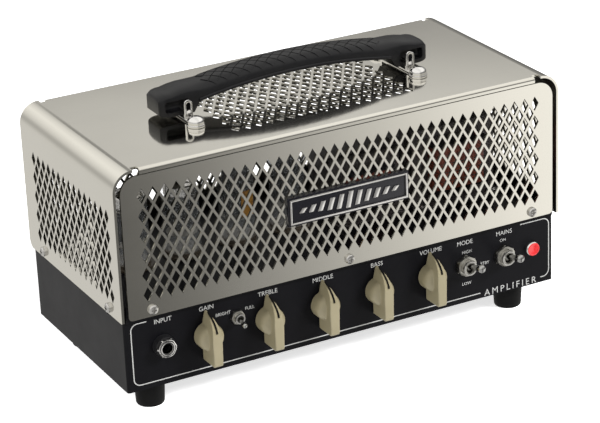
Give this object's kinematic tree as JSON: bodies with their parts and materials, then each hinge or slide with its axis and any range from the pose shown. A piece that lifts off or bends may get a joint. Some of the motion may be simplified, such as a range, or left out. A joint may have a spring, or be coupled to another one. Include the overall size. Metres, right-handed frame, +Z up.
{
  "type": "guitar amplifier head",
  "caption": "Small valve guitar amplifier head: black steel chassis with pointer knobs and toggle switches, polished perforated cage, arched carrying handle and rubber feet.",
  "frame": {"origin": "on the floor, under the middle of the whole amplifier's box", "axes": "+Z up, +X to the right of someone facing the controls, +Y towards the rear panel"},
  "size_m": [0.2924, 0.156, 0.1754],
  "materials": {
    "black_steel": "satin black powder coat",
    "polished_steel": "polished stainless steel",
    "bright_chrome": "bright chrome plate",
    "zinc_steel": "bright zinc plate",
    "black_moulding": "moulded, fine grain",
    "emblem_black": "gloss moulded",
    "cream_plastic": "moulded cream, satin",
    "black_rubber": "moulded rubber",
    "shaft_metal": "turned",
    "case_plastic": "moulded case",
    "valve_glass": "clear glass",
    "socket_ceramic": "glazed ceramic",
    "transformer_steel": "varnished laminations",
    "board_green": "solder resist",
    "capacitor_sleeve": "shrink sleeve",
    "lamp_red": "translucent red lens"
  },
  "bodies": {
    "amplifier": {"board_posts": "zinc_steel", "bottom_plate": "black_steel", "bottom_screws": "zinc_steel", "cage_cover": "polished_steel", "cage_screws": "zinc_steel", "chassis": "black_steel", "circuit_board": "board_green", "emblem_frame": "bright_chrome", "emblem_motif": "bright_chrome", "emblem_plate": "emblem_black", "filter_capacitors": "capacitor_sleeve", "foot_front_left": "black_rubber", "foot_front_right": "black_rubber", "foot_rear_left": "black_rubber", "foot_rear_right": "black_rubber", "foot_screws": "zinc_steel", "front_grille": "polished_steel", "fuse_holder": "case_plastic", "handle_bracket_left": "bright_chrome", "handle_bracket_right": "bright_chrome", "handle_nuts": "zinc_steel", "handle_screws": "bright_chrome", "input_jack": "case_plastic", "input_jack_collar": "case_plastic", "jack_nuts": "bright_chrome", "mains_inlet": "case_plastic", "mains_switch": "zinc_steel", "mains_transformer": "transformer_steel", "mode_switch": "zinc_steel", "output_transformer": "transformer_steel", "pilot_lamp_bezel": "bright_chrome", "pilot_lamp_lens": "lamp_red", "potentiometer_nuts": "zinc_steel", "potentiometers": "zinc_steel", "power_valve_1": "valve_glass", "power_valve_2": "valve_glass", "preamp_valve_1": "valve_glass", "preamp_valve_2": "valve_glass", "rear_grille": "polished_steel", "speaker_jacks": "case_plastic", "toggle_nuts": "bright_chrome", "tone_switch": "zinc_steel", "transformer_screws": "zinc_steel", "valve_sockets": "socket_ceramic"},
    "gain_control": {"gain_knob": "cream_plastic", "gain_shaft": "shaft_metal"},
    "treble_control": {"treble_knob": "cream_plastic", "treble_shaft": "shaft_metal"},
    "middle_control": {"middle_knob": "cream_plastic", "middle_shaft": "shaft_metal"},
    "bass_control": {"bass_knob": "cream_plastic", "bass_shaft": "shaft_metal"},
    "volume_control": {"volume_knob": "cream_plastic", "volume_shaft": "shaft_metal"},
    "tone_lever": {"tone_switch_lever": "bright_chrome"},
    "mode_lever": {"mode_switch_lever": "bright_chrome"},
    "mains_lever": {"mains_switch_lever": "bright_chrome"},
    "handle": {"handle_grip": "black_moulding", "handle_pins": "bright_chrome"},
    "fuse_carrier": {"fuse_cap": "case_plastic"}
  },
  "joints": [
    {"name": "gain_turn", "type": "hinge", "parent": "amplifier", "child": "gain_control", "pos_m": [-0.092, -0.05602, 0.0425], "axis": [0, 1, 0], "range_deg": [-150, 150]},
    {"name": "treble_turn", "type": "hinge", "parent": "amplifier", "child": "treble_control", "pos_m": [-0.053, -0.05602, 0.0425], "axis": [0, 1, 0], "range_deg": [-150, 150]},
    {"name": "middle_turn", "type": "hinge", "parent": "amplifier", "child": "middle_control", "pos_m": [-0.017, -0.05602, 0.0425], "axis": [0, 1, 0], "range_deg": [-150, 150]},
    {"name": "bass_turn", "type": "hinge", "parent": "amplifier", "child": "bass_control", "pos_m": [0.019, -0.05602, 0.0425], "axis": [0, 1, 0], "range_deg": [-150, 150]},
    {"name": "volume_turn", "type": "hinge", "parent": "amplifier", "child": "volume_control", "pos_m": [0.055, -0.05602, 0.0425], "axis": [0, 1, 0], "range_deg": [-150, 150]},
    {"name": "tone_switch_throw", "type": "hinge", "parent": "amplifier", "child": "tone_lever", "pos_m": [-0.072, -0.05802, 0.048], "axis": [0, 0, 1], "range_deg": [0, 18]},
    {"name": "mode_switch_throw", "type": "hinge", "parent": "amplifier", "child": "mode_lever", "pos_m": [0.08, -0.05902, 0.0425], "axis": [1, 0, 0], "range_deg": [0, 32]},
    {"name": "mains_switch_throw", "type": "hinge", "parent": "amplifier", "child": "mains_lever", "pos_m": [0.107, -0.05902, 0.0425], "axis": [1, 0, 0], "range_deg": [0, 32]},
    {"name": "handle_lift", "type": "slide", "parent": "amplifier", "child": "handle", "axis": [0, 0, 1], "range_m": [0, 0.0044]},
    {"name": "fuse_cap_turn", "type": "hinge", "parent": "amplifier", "child": "fuse_carrier", "pos_m": [0.072, 0.07098, 0.04], "axis": [0, 1, 0], "range_deg": [0, 60]}
  ]
}
